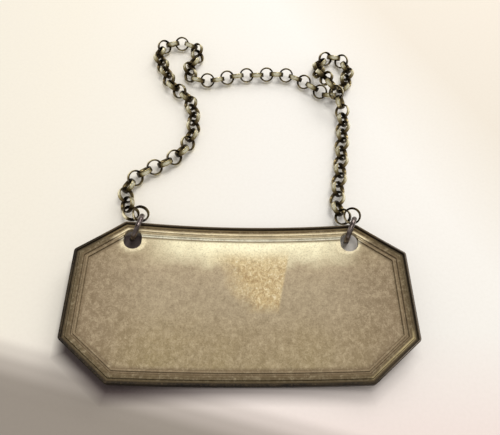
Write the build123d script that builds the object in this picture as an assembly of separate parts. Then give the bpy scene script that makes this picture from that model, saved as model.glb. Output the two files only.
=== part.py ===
"""Wine label: a bowed sheet of silver with cut corners, two wire rings and a belcher chain.

Millimetres. The label lies on its bowed face with its plain hollow side up. X runs along the
label, Y from its lower edge towards the chain and Z up. The origin is on the surface that the
label lies on, under the middle of the sheet.
"""
from build123d import *
from math import acos, cos, degrees, radians, sin, sqrt
import os

# Sheet
label_width = 49.6            # straight across, end to end
label_height = 24.6
corner_cut_x = 6.7            # what each cut corner takes off the long edge
corner_cut_y = 5.6            # and off the short edge
corner_round = 0.7
bow_radius = 105.0            # of the face that lies against the bottle
sheet_thickness = 0.6

# Mouldings of the hollow side: where each starts from the edge, its width, height and bevel
rim_width = 0.35
rim_height = 0.32
rim_bevel = 0.12
reed_inset = 0.75
reed_width = 0.75
reed_height = 0.2
reed_bevel = 0.12
thread_inset = 1.75
thread_width = 0.35
thread_height = 0.22
thread_bevel = 0.05
moulding_root = 0.1           # depth that each is sunk into the sheet

# Lines cut in the bowed side, under the edges of the mouldings
line_insets = (0.5, 1.85)
line_width = 0.2
line_depth = 0.12

# Holes for the rings, worn taller than wide
hole_width = 2.7
hole_height = 3.3
hole_inset = 7.95             # from the end of the label to the middle of a hole
hole_drop = 2.9               # and from its upper edge

# Wire rings
ring_wire = 0.75
ring_bore = 3.3
ring_sides = 10               # sides of the wire's section
ring_clearance = 0.12         # between a ring and the edge strip that it goes round
left_ring_turn = 15.0         # the far side of a ring is turned this way about Z, degrees
left_ring_lean = 19.0         # and its top leans to the right
right_ring_turn = 23.0
right_ring_lean = -2.5
left_ring_shift = 0.55        # a ring's middle from the middle of its hole, along X
right_ring_shift = 0.25

# Chain links: bands with a narrow inner face, alternately turned half a right angle each way
link_bore = 2.08
link_thickness = 0.35
link_band = 1.08              # width of the outer face
link_inner_band = 0.28
link_play = 0.12              # between two links drawn straight
bend_draw = 0.0042            # links lie closer by this for each degree of bend
link_roll = 45.0
most_nodes = 57               # for the chain: the straightest pairs share one until it fits
settling_rounds = 5           # of the even stepping along the route

# Places of the chain are measured from the far point of the wire of the ring on their side.
# First the middles of the three links next to each ring, in pitches, and the axes of two
left_end_middles = [(-0.12, 0.29, 0.0), (-1.01, 0.57, -0.42), (-1.4, 1.47, 0)]
left_end_axes = [(0.38, -0.03, 0.92), (0.38, 0.19, 0.91)]
right_end_middles = [(-0.2, 0.21, 0.39),(-0.76, 0.58, -0.42), (-1.07, 1.45, 0)]
right_end_axes = [(-0.13, -0.31, 0.94), (-0.6, -0.19, 0.78)]

# Then the route of the chain's middle line over the surface, from each side to the far end of
# the loop; a third number lifts it where the chain lies over itself
left_strand = [(-2.6, 7.3), (-0.4, 9.6), (2.8, 11.5), (5.4, 14.1), (6.8, 17.5), (7.0, 21.5),
               (6.4, 24.7), (5.2, 26.9), (3.5, 28.5)]
omega_loop = [(1.9, 30.8), (0.9, 33.6), (-0.5, 37.1), (0.3, 39.9), (3.4, 40.9), (6.3, 39.9),
              (6.9, 37.3), (5.6, 34.3), (6.2, 31.8), (8.5, 31.0)]
far_strand = [(12.1, 31.6), (14.4, 32.3)]
right_strand = [(-2.0, 4.7), (-1.5, 7.6), (-0.7, 12.0), (-0.1, 16.2), (0.5, 20.4), (0.7, 22.6)]
crossed_loop = [(0.6, 24.6, 0.4), (-0.1, 26.0, 1.6), (-1.2, 27.5, 2.8), (-2.3, 29.9, 2.6),
                (-3.1, 32.7, 1.2), (-2.7, 36.0), (-1.0, 38.0), (1.0, 38.0), (2.4, 36.2),
                (2.7, 33.7), (1.9, 31.0), (0.4, 28.8), (-1.4, 28.1), (-3.1, 28.9), (-4.8, 30.4)]
return_strand = [(-10.1, 33.1), (-14.5, 32.9)]


def bow_rise(x):
    """Height of the sheet's lower face above the surface, x from the middle of the label."""
    return bow_radius - sqrt(bow_radius ** 2 - x ** 2)


def label_outline(inset):
    """Face with the label's outline, drawn in from its edge."""
    x, y = label_width / 2, label_height / 2
    corners = [(x, y - corner_cut_y), (x - corner_cut_x, y), (corner_cut_x - x, y),
               (-x, y - corner_cut_y), (-x, corner_cut_y - y), (corner_cut_x - x, -y),
               (x - corner_cut_x, -y), (x, corner_cut_y - y)]
    octagon = make_face(Polyline(*corners, close=True))
    outline = fillet(octagon.vertices(), corner_round)
    return offset(outline, amount=-inset, kind=Kind.INTERSECTION) if inset else outline


def bowed_layer(low, high):
    """Bowed slab between two heights above the sheet's lower face, wider than the label."""
    half_angle = degrees(acos(1 - bow_rise(label_width / 2 + 1.0) / bow_radius))
    arcs = [CenterArc((0, bow_radius), bow_radius - height, 270 - half_angle, 2 * half_angle)
            for height in (low, high)]
    ends = [Line(arcs[0] @ side, arcs[1] @ side) for side in (0, 1)]
    section = make_face(arcs + ends)
    return extrude(Plane.XZ * section, amount=label_height, both=True)


def upright(face):
    """Prism of an outline, through the sheet at every place."""
    tall = bow_rise(label_width / 2) + sheet_thickness + rim_height + 1.0
    return Pos(Z=-0.5) * extrude(face, amount=tall + 0.5)


def band(inset, width, low, high):
    """Band round the label, of a width at an inset, between two heights over the lower face."""
    ring_face = upright(label_outline(inset)) - upright(label_outline(inset + width))
    return bowed_layer(low, high) & ring_face


def moulding(inset, width, height, bevel):
    """Raised band with its upper edges bevelled, the rim only on its outside."""
    top = sheet_thickness + height
    raised = band(inset, width, sheet_thickness - moulding_root, top)
    crest = [face for face in raised.faces().filter_by(GeomType.CYLINDER)
             if abs(face.radius - (bow_radius - top)) < 1e-4][0]
    edges = crest.edges() if inset else crest.outer_wire().edges()
    return chamfer(edges, min(bevel, width / 4, height / 2))


hole_x = label_width / 2 - hole_inset
hole_y = label_height / 2 - hole_drop
ring_radius = (ring_bore + ring_wire) / 2


def label_plate():
    """The sheet with its mouldings, cut lines and the two holes."""
    plate = bowed_layer(0, sheet_thickness) & upright(label_outline(0))
    plate += moulding(0, rim_width, rim_height, rim_bevel)
    plate += moulding(reed_inset, reed_width, reed_height, reed_bevel)
    plate += moulding(thread_inset, thread_width, thread_height, thread_bevel)
    for inset in line_insets:
        plate -= band(inset, line_width, -line_depth, line_depth)
    hole = Rot(Z=90) * SlotOverall(hole_height, hole_width)
    for side in (-1, 1):
        plate -= Pos(side * hole_x, hole_y) * upright(hole)
    return plate


def ring_plane(side):
    """Plane of a ring: its origin in the middle, x to the far side, y up and z along its axis."""
    turn, lean, shift = ((left_ring_turn, left_ring_lean, left_ring_shift) if side < 0 else
                         (right_ring_turn, right_ring_lean, right_ring_shift))
    far = Vector(sin(radians(turn)), cos(radians(turn)), 0)
    across = Vector(far.Y, -far.X, 0)
    up = Vector(0, 0, 1) * cos(radians(lean)) + across * sin(radians(lean))
    return Plane(origin=(side * hole_x + shift, ring_y, ring_z), x_dir=far, z_dir=far.cross(up))


# The rings stand on the surface and go round the strip between a hole and the upper edge
ring_lean = min(abs(left_ring_lean), abs(right_ring_lean))
ring_z = ring_radius * cos(radians(ring_lean)) + ring_wire / 2
ring_reach = ring_bore / 2 - ring_clearance
ring_y = label_height / 2 - sqrt(ring_reach ** 2 - (ring_z - bow_rise(hole_x)) ** 2)


def ring(side):
    """Wire ring of many-sided section."""
    wire = Pos(ring_radius, 0) * RegularPolygon(ring_wire / 2, ring_sides)
    return ring_plane(side).location * revolve(Plane.XZ * wire, Axis.Z)


def far_point(side):
    """The point of a ring's wire that is farthest from the label."""
    plane = ring_plane(side)
    return plane.origin + plane.x_dir * ring_radius


def link_solid():
    """One link round Z: a band with a flat outer face, drawn in to a narrow inner face."""
    bore, outside = link_bore / 2, link_bore / 2 + link_thickness
    section = Polyline((bore, -link_inner_band / 2), (outside, -link_band / 2),
                       (outside, link_band / 2), (bore, link_inner_band / 2), close=True)
    return revolve(Plane.XZ * make_face(section), Axis.Z)


link_reach = link_bore / 2 + sqrt((link_bore / 2) ** 2 - (link_inner_band / 2) ** 2)
link_pitch = link_reach - link_play
rest_height = ((link_bore / 2 + link_thickness) * sin(radians(link_roll))
               + link_band / 2 * cos(radians(link_roll)))


def end_middles(side):
    """Middles of the three links next to a ring, the third of them on the surface."""
    middles = [far_point(side) + Vector(*place) * link_pitch
               for place in (left_end_middles if side < 0 else right_end_middles)]
    middles[2].Z = rest_height
    return middles


def chain_route():
    """Smooth line through the middles of the links that lie on the surface."""
    halves = []
    for side, places in ((-1, left_strand + omega_loop + far_strand),
                         (1, right_strand + crossed_loop + return_strand)):
        far = far_point(side)
        ground = Vector(far.X, far.Y, rest_height)
        halves.append([end_middles(side)[2]] + [ground + Vector(*place) for place in places])
    return Spline(*halves[0], *reversed(halves[1]))


def point_at(route, place):
    """Point of a route, no lower than a link at rest, and run on straight past its end."""
    point = route @ min(place, 1) + (route % 1) * max(place - 1, 0) * route.length
    return Vector(point.X, point.Y, max(point.Z, rest_height))


def stepped(route, share, steps):
    """Points a share of the pitch apart along a route, and the place of the last one."""
    length = route.length
    points, at = [route @ 0], 0.0
    while len(points) <= steps:
        bend = (route % min(at, 1)).get_angle(route % min(at + link_pitch / length, 1))
        pitch = share * (link_pitch - bend_draw * bend)
        at += pitch / length
        for _ in range(settling_rounds):
            at += (pitch - (point_at(route, at) - points[-1]).length) / length
        points.append(point_at(route, at))
    return points, at


def link_middles():
    """Middles of all links, with an even number of even steps between the two ends."""
    route, share, steps = chain_route(), 1.0, 0
    for _ in range(settling_rounds):
        points, at = stepped(route, share, steps or 2 * round(chain_route().length / link_pitch / 2))
        steps = len(points) - 1
        share /= at
    if share > 1:
        steps += 2
        share *= (steps - 2) / steps
        for _ in range(settling_rounds):
            share /= stepped(route, share, steps)[1]
    free = stepped(route, share, steps)[0]
    return end_middles(-1)[:2] + free + end_middles(1)[1::-1]


def link_frames(middles):
    """Plane of each link: x along the chain, z along the link's axis."""
    frames = []
    last = len(middles) - 1
    for i, middle in enumerate(middles):
        along = middles[min(i + 1, last)] - middles[max(i - 1, 0)]
        across = Vector(0, 0, 1).cross(along).normalized()
        roll = radians(-link_roll if i % 2 else link_roll)
        axis = along.cross(across).normalized() * cos(roll) + across * sin(roll)
        if i < len(left_end_axes):
            axis = Vector(*left_end_axes[i])
        if last - i < len(right_end_axes):
            axis = Vector(*right_end_axes[last - i])
        frames.append(Plane(origin=middle, x_dir=axis.cross(along).cross(axis), z_dir=axis))
    return frames


def chain_nodes(middles):
    """Lists of the links in each node of the chain, in order from the left ring."""
    def bend(i):
        before, after = middles[i] - middles[i - 1], middles[i + 2] - middles[i + 1]
        return before.get_angle(after)

    paired = set()
    for i in sorted(range(1, len(middles) - 2), key=bend):
        if len(middles) - len(paired) <= most_nodes:
            break
        if not {i - 1, i, i + 1} & paired and i + 1 not in paired:
            paired.add(i)
    return [[i, i + 1] if i in paired else [i]
            for i in range(len(middles)) if i - 1 not in paired]


def main():
    os.makedirs("parts", exist_ok=True)
    middles = link_middles()
    frames = link_frames(middles)
    parts = {"label_plate": label_plate(), "left_ring": ring(-1), "right_ring": ring(1)}
    link = link_solid()
    for number, links in enumerate(chain_nodes(middles), 1):
        solids = [link.moved(frames[i].location) for i in links]
        parts[f"chain_{number:02d}"] = solids[0] if len(solids) == 1 else Compound(solids)
    for name, shape in parts.items():
        export_step(shape, f"parts/{name}.step")
    print(len(middles), "links in", len(parts) - 3, "nodes, steps of",
          round((middles[4] - middles[3]).length, 3), "mm")
    return parts


if __name__ == "__main__":
    main()
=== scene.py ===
"""Looks of the wine label: tarnished silver on a pale surface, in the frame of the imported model."""
import bpy
import math
from mathutils import Matrix, Vector


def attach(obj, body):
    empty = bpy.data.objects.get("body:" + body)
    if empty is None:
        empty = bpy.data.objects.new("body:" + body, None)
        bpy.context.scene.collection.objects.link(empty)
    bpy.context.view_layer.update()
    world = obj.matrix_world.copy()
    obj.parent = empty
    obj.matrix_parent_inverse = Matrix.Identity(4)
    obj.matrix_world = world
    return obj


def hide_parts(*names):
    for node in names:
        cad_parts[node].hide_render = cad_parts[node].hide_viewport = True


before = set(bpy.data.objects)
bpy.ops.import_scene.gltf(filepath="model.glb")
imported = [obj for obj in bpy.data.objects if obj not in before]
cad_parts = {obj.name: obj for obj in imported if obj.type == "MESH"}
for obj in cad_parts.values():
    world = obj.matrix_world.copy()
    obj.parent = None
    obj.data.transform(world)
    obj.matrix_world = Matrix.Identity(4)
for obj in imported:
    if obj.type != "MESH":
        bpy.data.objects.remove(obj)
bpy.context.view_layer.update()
MM = 0.001

# The label's own sizes in mm, as in the model
label_width = 49.6
label_height = 24.6
corner_cut_x = 6.7
corner_cut_y = 5.6
hole_x = 16.85
hole_y = 9.4
ring_radius = 2.025
link_bore = 2.08
link_thickness = 0.35
link_band = 1.08
link_inner_band = 0.28

# The rings' wire is slightly oval, and the links are slimmer than the model's by link_room, to keep
# neighbours clear of each other
ring_wire = 0.7
ring_width = 0.78
link_dome = 0.1
link_room = 0.028

# Fineness of the turned pieces
wire_sides = 20
ring_steps = 72
link_steps = 40

# The label's border: the width that its lines are spread over, and where the field begins
border_reach = 4.0
field_start = 2.1
field_full = 2.6


def linear(*rgb):
    """Linear colour from the 0 to 255 values that a screen shows."""
    return tuple((c / 255 / 12.92) if c / 255 <= 0.04045 else ((c / 255 + 0.055) / 1.055) ** 2.4
                 for c in rgb)


class Graph:
    """Short way to write a material's nodes."""

    def __init__(self, name):
        self.material = bpy.data.materials.new(name)
        self.material.use_nodes = True
        self.tree = self.material.node_tree
        self.tree.nodes.clear()
        self.out = self.add("ShaderNodeOutputMaterial")

    def add(self, kind, **settings):
        node = self.tree.nodes.new(kind)
        for key, value in settings.items():
            setattr(node, key, value)
        return node

    def feed(self, socket, value):
        if isinstance(value, bpy.types.NodeSocket):
            self.tree.links.new(value, socket)
        else:
            socket.default_value = value

    def math(self, operation, *values, clamp=False):
        node = self.add("ShaderNodeMath", operation=operation, use_clamp=clamp)
        for socket, value in zip(node.inputs, values):
            self.feed(socket, value)
        return node.outputs[0]

    def plus(self, first, second, clamp=False):
        return self.math("ADD", first, second, clamp=clamp)

    def minus(self, first, second):
        return self.math("SUBTRACT", first, second)

    def times(self, first, second):
        return self.math("MULTIPLY", first, second)

    def least(self, first, second):
        return self.math("MINIMUM", first, second)

    def around_zero(self, noise, width):
        """Noise moved to lie around zero, over a width."""
        return self.times(self.minus(noise, 0.5), width)

    def object_place(self, scale=1.0, stretch=(1, 1, 1), shift=(0, 0, 0)):
        """Object coordinates in millimetres times a scale."""
        place = self.add("ShaderNodeTexCoord").outputs["Object"]
        mapping = self.add("ShaderNodeMapping")
        self.feed(mapping.inputs["Vector"], place)
        mapping.inputs["Scale"].default_value = [scale * s / MM for s in stretch]
        mapping.inputs["Location"].default_value = shift
        return mapping.outputs[0]

    def object_xy(self):
        """X and Y of the object coordinates in millimetres."""
        split = self.add("ShaderNodeSeparateXYZ")
        self.feed(split.inputs[0], self.object_place())
        return split.outputs[0], split.outputs[1]

    def noise(self, size, detail, rough, warp=0.0, stretch=(1, 1, 1), shift=(0, 0, 0)):
        """Noise with features of about a size in millimetres, 0 to 1."""
        node = self.add("ShaderNodeTexNoise")
        self.feed(node.inputs["Vector"], self.object_place(1 / size, stretch, shift))
        node.inputs["Scale"].default_value = 1.0
        node.inputs["Detail"].default_value = detail
        node.inputs["Roughness"].default_value = rough
        node.inputs["Distortion"].default_value = warp
        return node.outputs["Fac"]

    def ramp(self, value, stops, smooth=False):
        """Colour ramp; stops are (place, colour or grey)."""
        node = self.add("ShaderNodeValToRGB")
        if smooth:
            node.color_ramp.interpolation = "EASE"
        elements = node.color_ramp.elements
        while len(elements) < len(stops):
            elements.new(0.5)
        for element, (place, colour) in zip(elements, stops):
            element.position = place
            grey = isinstance(colour, (int, float))
            element.color = (colour, colour, colour, 1) if grey else (*colour, 1)
        self.feed(node.inputs[0], value)
        return node.outputs[0]

    def between(self, value, none, full):
        """0 where a value is at none, 1 where it is at full, clamped."""
        node = self.add("ShaderNodeMapRange", clamp=True)
        self.feed(node.inputs["Value"], value)
        node.inputs["From Min"].default_value = none
        node.inputs["From Max"].default_value = full
        return node.outputs[0]

    def side_of(self, x, y, start, end):
        """Distance to the right of a line from a start to an end."""
        along = Vector(end) - Vector(start)
        normal = Vector((along.y, -along.x)).normalized()
        reach = self.plus(self.times(x, normal.x), self.times(y, normal.y))
        return self.minus(reach, normal.dot(Vector(start)))

    def distance(self, x, y, point):
        """Distance from a point in the plane."""
        dx = self.minus(x, point[0])
        dy = self.minus(y, point[1])
        return self.math("SQRT", self.plus(self.times(dx, dx), self.times(dy, dy)))

    def inset(self, x, y):
        """Distance in mm inside the label's outline, from its long, short and cut edges."""
        to_side = self.minus(label_width / 2, self.math("ABSOLUTE", x))
        to_edge = self.minus(label_height / 2, self.math("ABSOLUTE", y))
        cut_length = math.hypot(corner_cut_x, corner_cut_y)
        slant = self.plus(self.times(to_side, corner_cut_y / cut_length),
                          self.times(to_edge, corner_cut_x / cut_length))
        to_cut = self.minus(slant, corner_cut_x * corner_cut_y / cut_length)
        return self.least(self.least(to_side, to_edge), to_cut)

    def mix(self, factor, first, second):
        """Colour from a first to a second one by a factor."""
        node = self.add("ShaderNodeMix", data_type="RGBA")
        self.feed(node.inputs["Factor"], factor)
        colour_sockets = (6, 7)
        for socket, value in zip(colour_sockets, (first, second)):
            if isinstance(value, tuple) and len(value) == 3:
                value = (*value, 1)
            self.feed(node.inputs[socket], value)
        return node.outputs[2]

    def metal(self, colour, rough, metallic, bumps):
        """Principled metal; bumps are (height, distance in mm, strength)."""
        shader = self.add("ShaderNodeBsdfPrincipled")
        self.feed(shader.inputs["Base Color"], colour)
        self.feed(shader.inputs["Roughness"], rough)
        shader.inputs["Metallic"].default_value = metallic
        normal = None
        for height, distance, strength in bumps:
            bump = self.add("ShaderNodeBump")
            bump.inputs["Distance"].default_value = distance * MM
            bump.inputs["Strength"].default_value = strength
            self.feed(bump.inputs["Height"], height)
            if normal:
                self.feed(bump.inputs["Normal"], normal)
            normal = bump.outputs[0]
        self.feed(shader.inputs["Normal"], normal)
        self.feed(self.out.inputs["Surface"], shader.outputs[0])
        return self.material


class SheetGraph(Graph):
    """Tarnished silver sheet: mottled field, border lines with painted highlights and shade, a painted
    reflection as a bright band along the top, a rubbed patch.
    """

    def __init__(self, name):
        super().__init__(name)
        self.x, self.y = self.object_xy()
        self.broad = self.noise(9.0, 3, 0.5, 0.4)
        self.cloud = self.noise(3.2, 4, 0.6, 0.3, shift=(5, 0, 2))
        self.blotch = self.noise(0.9, 6, 0.85, 0.3, stretch=(1, 0.8, 1), shift=(2, 6, 1))
        self.fine = self.noise(0.6, 6, 0.75, 0.2)
        self.grain = self.noise(0.24, 5, 0.75)
        self.edge = self.inset(self.x, self.y)
        self.past_rim = self.between(self.edge, 0.45, 0.8)
        self.at_top = self.between(self.y, label_height / 2 - 3.4, label_height / 2 - 2.6)
        self.uneven_y = self.plus(self.y, self.around_zero(self.cloud, 4.0))

    def field(self):
        """Warm grey, olive below, duller at the two ends, with light and dark blotches."""
        height = self.between(self.uneven_y, -label_height / 2, label_height / 2)
        field = self.ramp(height, [
            (0.10, linear(142, 127, 93)), (0.26, linear(146, 130, 98)), (0.42, linear(156, 141, 114)),
            (0.56, linear(161, 146, 120)), (0.68, linear(168, 152, 125)), (0.80, linear(184, 168, 134))])
        at_ends = self.between(self.math("ABSOLUTE", self.x), 12.5, 21.5)
        below_right_corner = self.between(self.plus(self.x, self.y), 32.0, 25.0)
        dull = self.times(self.times(at_ends, below_right_corner), 0.9)
        field = self.mix(dull, field, linear(120, 102, 77))
        field = self.mix(self.ramp(self.broad, [(0.35, 0.0), (0.7, 0.4)]), field, linear(150, 134, 110))
        field = self.mix(self.ramp(self.blotch, [(0.48, 0.0), (0.7, 0.6)]), field, linear(194, 178, 148))
        return self.mix(self.ramp(self.blotch, [(0.28, 0.6), (0.48, 0.0)]), field, linear(116, 100, 74))

    def with_painted_reflection(self, field):
        """Painted reflection: a cream band under the top border, between the holes."""
        reflection_foot, reflection_full = 4.8, 8.8
        across = self.ramp(self.between(self.x, -label_width / 2, label_width / 2), [
            (0.17, 0.0), (0.33, 0.9), (0.42, 1.0), (0.72, 1.0), (0.80, 0.65), (0.88, 0.0)], smooth=True)
        painted_reflection = self.times(across, self.between(self.uneven_y, reflection_foot, reflection_full))
        return self.mix(self.times(painted_reflection, 0.95), field, linear(244, 238, 204))

    def with_hole_highlights(self, field):
        """Rubbed metal round the holes, brightened by a painted highlight, with an uneven edge."""
        halo_drop = 0.25
        halo_start, halo_end = 1.5, 3.2
        for side in (-1, 1):
            far = self.distance(self.x, self.y, (side * hole_x, hole_y - halo_drop))
            far = self.plus(far, self.around_zero(self.fine, 1.2))
            far = self.plus(far, self.around_zero(self.cloud, 2.0))
            halo = self.ramp(self.between(far, halo_start, halo_end), [
                (0.0, 0.8), (0.18, 0.6), (0.36, 0.15), (0.7, 0.0)])
            field = self.mix(halo, field, linear(240, 228, 192))
        return field

    def with_rubbed_patch(self, field):
        """Patch with one slanted side, its other side fading out."""
        foot_y = -1.5
        top_right, low_right = (7.3, 7.0), (5.5, -1.6)
        top_left, low_left = (-5.4, 7.1), (0.2, -1.6)
        fade_end, fade_start = 8.6, 6.4
        right = self.side_of(self.x, self.y, top_right, low_right)
        left = self.side_of(self.x, self.y, low_left, top_left)
        uneven_left = self.plus(left, self.around_zero(self.cloud, 4.0))
        above_foot = self.minus(self.y, foot_y)
        inside = self.least(self.between(right, -0.1, 0.25), self.between(above_foot, -0.6, 1.2))
        inside = self.least(inside, self.between(uneven_left, 0.0, 3.0))
        inside = self.times(inside, self.between(self.y, fade_end, fade_start))
        flecks = self.noise(0.55, 6, 0.8, 0.8, stretch=(1, 0.8, 1), shift=(3, 1, 0))
        worn = self.ramp(flecks, [(0.34, linear(140, 112, 66)), (0.46, linear(182, 154, 104)),
                                  (0.55, linear(218, 198, 150)), (0.66, linear(246, 236, 204))])
        return self.mix(self.times(inside, 0.66), field, worn)

    def lines(self, stops):
        """Ramp over the border; stops are (mm from the edge, colour or grey)."""
        depth = self.math("DIVIDE", self.edge, border_reach)
        return self.ramp(depth, [(mm / border_reach, colour) for mm, colour in stops])

    def border(self):
        """Quiet lines all round with painted shade on the rim; stronger painted highlights and shade along
        the top, where more light falls; painted glints on edges at the right.
        """
        # Painted shade on the rim's outer face, dull flat, bead at 1.8 mm, groove at 2.4 mm
        quiet = self.lines([
            (0.0, linear(14, 9, 4)), (0.28, linear(20, 14, 6)), (0.40, linear(46, 37, 22)),
            (0.60, linear(84, 71, 48)), (0.80, linear(104, 90, 64)), (1.00, linear(86, 73, 50)),
            (1.20, linear(92, 78, 54)), (1.40, linear(116, 99, 74)), (1.64, linear(128, 110, 84)),
            (1.80, linear(134, 117, 91)), (2.04, linear(126, 109, 84)), (2.20, linear(120, 103, 78)),
            (2.40, linear(116, 99, 75)), (3.00, linear(126, 109, 83))])
        # Painted highlights at 0.56, 1.36 and 2.2 mm, where the steps of the sheet face the light, with
        # painted shade on the rim and between them
        strong = self.lines([
            (0.0, linear(60, 50, 34)), (0.10, linear(112, 100, 82)), (0.18, linear(84, 70, 50)),
            (0.26, linear(28, 20, 8)), (0.40, linear(50, 38, 20)), (0.56, linear(146, 126, 88)),
            (0.80, linear(76, 61, 36)), (1.00, linear(86, 70, 44)), (1.16, linear(170, 154, 118)),
            (1.36, linear(250, 236, 200)), (1.60, linear(224, 208, 170)), (1.80, linear(102, 88, 60)),
            (1.96, linear(206, 192, 158)), (2.12, linear(255, 252, 232)), (2.26, linear(255, 252, 232)),
            (2.40, linear(128, 114, 86)), (2.56, linear(128, 116, 88)), (2.80, linear(214, 204, 170))])
        border = self.mix(self.at_top, quiet, strong)

        # Painted glint on the rim's crest along the right side
        at_right = self.between(self.x, label_width / 2 - 7.0, label_width / 2 - 2.5)
        rim_line = self.lines([(0.08, 0.0), (0.12, 1.0), (0.18, 1.0), (0.22, 0.0)])
        rim_glint = self.times(rim_line, self.times(at_right, self.minus(1.0, self.at_top)))
        border = self.mix(self.times(rim_glint, 0.7), border, linear(150, 138, 124))

        # Painted gold highlight on a ridge along the lower right cut corner
        at_low_right = self.between(self.minus(self.x, self.y), 28.5, 31.0)
        ridge_line = self.lines([(0.60, 0.0), (0.76, 1.0), (0.96, 1.0), (1.12, 0.0)])
        ridge_glint = self.times(self.times(ridge_line, at_low_right), 0.8)
        border = self.mix(ridge_glint, border, linear(232, 212, 158))

        border = self.mix(self.ramp(self.cloud, [(0.35, 0.3), (0.6, 0.0)]), border, linear(78, 64, 40))
        light_spots = self.times(self.ramp(self.blotch, [(0.5, 0.0), (0.75, 0.35)]), self.past_rim)
        return self.mix(light_spots, border, linear(180, 164, 130))

    def with_mottle(self, colour):
        """Dark specks, light grain and dark grain over the whole sheet."""
        specks = self.ramp(self.noise(0.62, 2, 0.5, shift=(7, 3, 0)), [(0.68, 0.0), (0.74, 1.0)])
        colour = self.mix(self.times(specks, 0.25), colour, linear(104, 88, 62))
        light_grain = self.times(self.ramp(self.fine, [(0.5, 0.0), (0.72, 0.42)]), self.past_rim)
        colour = self.mix(light_grain, colour, linear(206, 190, 158))
        return self.mix(self.ramp(self.grain, [(0.32, 0.4), (0.52, 0.0)]), colour, linear(96, 80, 56))

    def build(self):
        """Joins field and border under the mottle and returns the material."""
        field = self.with_rubbed_patch(self.with_hole_highlights(self.with_painted_reflection(self.field())))
        # The strong lines along the top reach further in than the quiet ones
        depth = self.plus(self.edge, self.times(self.at_top, -0.35))
        colour = self.mix(self.between(depth, field_start, field_full), self.border(), field)
        rough = self.plus(0.46, self.times(self.fine, 0.2))
        bumps = [(self.broad, 0.2, 0.4), (self.blotch, 0.05, 0.5), (self.grain, 0.012, 0.5)]
        return self.metal(self.with_mottle(colour), rough, 0.7, bumps)


def wire_material():
    """Darkened silver wire, rubbed brighter in places."""
    g = Graph("ring_silver_dark")
    fine = g.noise(0.9, 5, 0.6, 0.3, shift=(4, 2, 5))
    grain = g.noise(0.2, 4, 0.7, shift=(1, 4, 0))
    colour = g.ramp(fine, [(0.36, linear(58, 48, 47)), (0.66, linear(150, 138, 133))])
    rough = g.plus(0.16, g.times(grain, 0.16))
    return g.metal(colour, rough, 0.95, [(fine, 0.04, 0.5), (grain, 0.01, 0.4)])


def link_material():
    """Belcher chain silver: painted shade makes it nearly black inside and between the links; rubbed bright
    where they stand out, with a painted highlight there.
    """
    g = Graph("chain_silver_rubbed_and_painted_light")
    wear_and_painted_light = g.add("ShaderNodeAttribute", attribute_name="wear_and_painted_light").outputs["Fac"]
    patchy = g.noise(0.8, 5, 0.65, 0.4, shift=(9, 2, 5))
    grain = g.noise(0.2, 4, 0.7, shift=(1, 9, 0))
    wear_and_painted_light = g.plus(wear_and_painted_light, g.around_zero(patchy, 0.8), clamp=True)
    # Low values are painted shade, high ones rubbed metal with a painted highlight
    colour = g.ramp(wear_and_painted_light, [
        (0.0, linear(34, 26, 15)), (0.2, linear(74, 62, 40)), (0.42, linear(116, 102, 70)),
        (0.64, linear(180, 168, 126)), (0.85, linear(250, 244, 216))])
    rough = g.minus(0.38, g.times(wear_and_painted_light, 0.24))
    return g.metal(colour, rough, 0.9, [(patchy, 0.03, 0.5), (grain, 0.008, 0.5)])


def floor_material():
    """Pale paper: cream at the left, pinkish towards the front, shaded at the front left and by the label."""
    g = Graph("pale_surface")
    x, y = g.object_xy()
    fibre = g.noise(0.5, 4, 0.6)
    paper = g.mix(g.between(x, 5.0, -35.0), linear(252, 249, 243), linear(254, 248, 234))
    paper = g.mix(g.between(y, -4.0, -20.0), paper, linear(250, 235, 229))
    far_right = g.between(g.plus(x, g.times(y, 0.5)), 42.0, 65.0)
    paper = g.mix(far_right, paper, linear(240, 232, 219))

    # Wide soft shade past a slanted line, fading out again far from the label
    line_start, line_end = (-27.4, -10.0), (0.0, -17.0)
    past_line = g.side_of(x, y, line_start, line_end)
    shade = g.ramp(g.between(past_line, -3.2, 4.2), [
        (0.0, 0.0), (0.25, 0.35), (0.5, 0.72), (0.78, 0.97), (1.0, 1.0)], smooth=True)
    near = g.times(g.between(past_line, 50.0, 14.0), g.between(x, -110.0, -50.0))
    paper = g.mix(g.times(shade, near), paper, linear(160, 151, 141))

    # Shade under the label, deeper at the left
    under = g.between(g.inset(g.plus(x, 0.3), g.plus(y, 1.0)), -1.6, 0.4)
    depth = g.plus(0.22, g.times(g.between(x, 20.0, -16.0), 0.74))
    paper = g.mix(g.times(under, depth), paper, linear(92, 80, 80))
    paper = g.mix(g.ramp(fibre, [(0.4, 0.0), (0.8, 0.06)]), paper, linear(190, 178, 164))
    diffuse = g.add("ShaderNodeBsdfDiffuse")
    g.feed(diffuse.inputs["Color"], paper)
    g.feed(g.out.inputs["Surface"], diffuse.outputs[0])
    return g.material


def pieces_of(mesh):
    """Vertices of each separate piece of a mesh."""
    parent = list(range(len(mesh.vertices)))

    def root(i):
        while parent[i] != i:
            parent[i] = parent[parent[i]]
            i = parent[i]
        return i

    place = {}
    for v in mesh.vertices:
        key = tuple(round(c, 6) for c in v.co)
        parent[root(v.index)] = root(place.setdefault(key, v.index))
    for e in mesh.edges:
        parent[root(e.vertices[0])] = root(e.vertices[1])
    groups = {}
    for v in mesh.vertices:
        groups.setdefault(root(v.index), []).append(v.co.copy())
    return list(groups.values())


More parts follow.
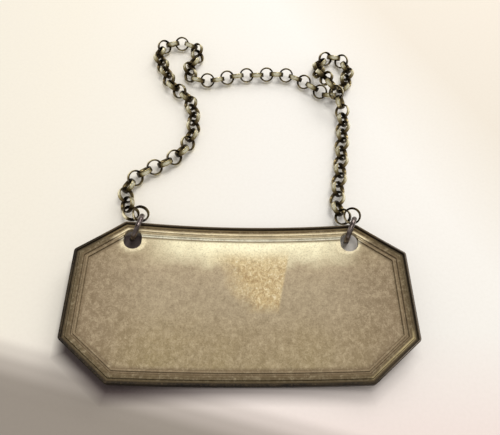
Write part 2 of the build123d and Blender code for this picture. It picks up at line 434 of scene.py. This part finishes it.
def round_frame(points):
    """Middle and axis of a round piece: the middle of its box and its direction of least spread."""
    unique = list({tuple(round(c, 6) for c in p): p for p in points}.values())
    low = [min(p[i] for p in unique) for i in range(3)]
    high = [max(p[i] for p in unique) for i in range(3)]
    middle = Vector((l + h) / 2 for l, h in zip(low, high))
    spread = Matrix(((0, 0, 0), (0, 0, 0), (0, 0, 0)))
    for p in unique:
        d = (p - middle) / MM
        for i in range(3):
            for j in range(3):
                spread[i][j] += d[i] * d[j] / len(unique)
    # Repeated use of the inverse turns any start towards the direction of least spread
    axis = Vector((0.3, 0.5, 0.8)).normalized()
    inverse = spread.inverted()
    turns = 60
    for _ in range(turns):
        axis = (inverse @ axis).normalized()
    return middle, axis


def lathe(name, frames, section, steps, material, wear_and_painted_light=None):
    """One mesh of closed sections turned about each frame's axis; section is (radius, along) in mm.

    A frame is a middle, an axis and the direction at which the turn starts; the last argument gives a
    point's rubbed brightness, with painted highlight and painted shade, from its angle and its place in the
    section.
    """
    # Per point: rubbed brightness with painted highlight and painted shade
    points, faces, rubbed = [], [], []
    sides = len(section)
    for middle, axis, first in frames:
        side = axis.cross(first).normalized()
        turn = Matrix((side.cross(axis), side, axis)).transposed()
        base = len(points)
        for i in range(steps):
            angle = math.tau * i / steps
            for radius, along in section:
                local = Vector((radius * math.cos(angle), radius * math.sin(angle), along))
                points.append(middle + turn @ (local * MM))
                rubbed.append(wear_and_painted_light(angle, radius, along) if wear_and_painted_light else 0.0)
        for i in range(steps):
            here = base + i * sides
            there = base + (i + 1) % steps * sides
            for j in range(sides):
                k = (j + 1) % sides
                faces.append((here + j, there + j, there + k, here + k))
    mesh = bpy.data.meshes.new(name)
    mesh.from_pydata(points, [], faces)
    mesh.materials.append(material)
    mesh.polygons.foreach_set("use_smooth", [True] * len(faces))
    if wear_and_painted_light:
        mesh.attributes.new("wear_and_painted_light", "FLOAT", "POINT").data.foreach_set("value", rubbed)
    piece = bpy.data.objects.new(name, mesh)
    bpy.context.scene.collection.objects.link(piece)
    return piece


def wire_section():
    """Oval section of a ring's wire."""
    turns = [math.tau * j / wire_sides for j in range(wire_sides)]
    return [(ring_radius + ring_wire / 2 * math.cos(t), ring_width / 2 * math.sin(t)) for t in turns]


def link_section():
    """Section of a link inside the model's: narrow inner face, straight flanks, a domed outer face."""
    inner = link_bore / 2
    outer = inner + link_thickness
    half_in, half_out = link_inner_band / 2, link_band / 2

    def on_flank(radius):
        return radius, half_in + (half_out - half_in) * (radius - inner) / link_thickness - link_room

    shoulder = on_flank(outer - link_dome)[1]
    flank = [(inner + link_room, half_in * 0.5), on_flank(inner + 1.7 * link_room), on_flank(inner + 0.12),
             on_flank(outer - link_dome - 0.03), on_flank(outer - link_dome)]
    dome = [(outer - link_dome * drop, shoulder * width)
            for drop, width in ((0.62, 0.97), (0.36, 0.74), (0.2, 0.4))]
    upper = flank + dome
    return upper + [(outer - 0.7 * link_room, 0)] + [(r, -a) for r, a in reversed(upper)]


def link_wear_and_painted_light(angle, radius, along):
    """Rubbed metal with a painted highlight on the outer face beside the chain's line, duller on flanks and
    inside, painted shade at the ends, where neighbours hook.
    """
    depth = (link_bore / 2 + link_thickness - radius) / link_thickness
    face = max(0.0, 1 - depth / 0.45) * max(0.0, 1 - (along / (0.45 * link_band)) ** 2)
    return math.sin(angle) ** 2 * (0.4 + 0.6 * face)


# The sheet keeps its CAD solid
# The sheet's material: worn, tarnished silver with painted reflection, painted highlights and painted shade
sheet_silver = SheetGraph("sheet_silver_worn_and_painted_light").build()
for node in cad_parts.values():
    if node.name.startswith("label_plate"):
        node.data.materials.clear()
        node.data.materials.append(sheet_silver)

# Rings
ring_silver = wire_material()
for name in ("left_ring", "right_ring"):
    middle, axis = round_frame([v.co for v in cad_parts[name].data.vertices])
    ring_frame = (middle, axis, axis.orthogonal())
    ring = lathe(name + "_wire", [ring_frame], wire_section(), ring_steps, ring_silver)
    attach(ring, name)
    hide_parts(name)

# Links; each starts its turn along the line between its two neighbours
link_silver = link_material()
links = [(name, *round_frame(points)) for name in sorted(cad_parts) if name.startswith("chain")
         for points in pieces_of(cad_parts[name].data)]
link_frames = {}
for name, middle, axis in links:
    near = sorted(links, key=lambda other: (other[1] - middle).length)[1:3]
    link_frames.setdefault(name, []).append((middle, axis, near[0][1] - near[1][1]))
for name, frames in link_frames.items():
    piece = lathe(name + "_band", frames, link_section(), link_steps, link_silver, link_wear_and_painted_light)
    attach(piece, name)
    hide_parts(name)

# Surface
floor_size = 3.0
bpy.ops.mesh.primitive_plane_add(size=floor_size, location=(0, 0, 0))
floor = bpy.context.object
floor.name = "pale_floor"
floor.data.materials.append(floor_material())

# Camera: place in mm and direction of view, worked out from the photograph
camera_place = Vector((-1.699, -26.222, 70.357))
camera_forward = Vector((0.03777, 0.50254, -0.86373))
camera_roll = math.radians(4.572)
focal_pixels = 495.02
frame_width = 500
film_width = 36.0
camera_data = bpy.data.cameras.new("camera")
camera_data.sensor_fit = "HORIZONTAL"
camera_data.sensor_width = film_width
camera_data.lens = film_width * focal_pixels / frame_width
camera_data.clip_start = 0.001
camera = bpy.data.objects.new("camera", camera_data)
look = camera_forward.to_track_quat("-Z", "Y").to_matrix().to_4x4()
camera.matrix_world = Matrix.Translation(camera_place * MM) @ look @ Matrix.Rotation(camera_roll, 4, "Z")
bpy.context.scene.collection.objects.link(camera)
bpy.context.scene.camera = camera


def soft_box(name, place, target, size, power):
    """Warm white area lamp at a place, facing a target, in mm; power in watts."""
    lamp = bpy.data.lights.new(name, "AREA")
    lamp.shape = "RECTANGLE"
    lamp.size, lamp.size_y = size[0] * MM, size[1] * MM
    lamp.energy = power
    lamp.color = (1.0, 0.98, 0.96)
    holder = bpy.data.objects.new(name, lamp)
    aim = (Vector(target) - Vector(place)).to_track_quat("-Z", "Y").to_matrix().to_4x4()
    holder.matrix_world = Matrix.Translation(Vector(place) * MM) @ aim
    bpy.context.scene.collection.objects.link(holder)


soft_box("ceiling", (40, 40, 300), (0, 12, 0), (110, 110), 0.27)
soft_box("window", (110, 210, 190), (0, 15, 0), (200, 150), 0.32)

world = bpy.data.worlds.new("soft_room")
world.use_nodes = True
background = world.node_tree.nodes["Background"]
background.inputs["Color"].default_value = (1.0, 0.98, 0.95, 1)
background.inputs["Strength"].default_value = 0.49
bpy.context.scene.world = world
bpy.context.scene.view_settings.view_transform = "Standard"
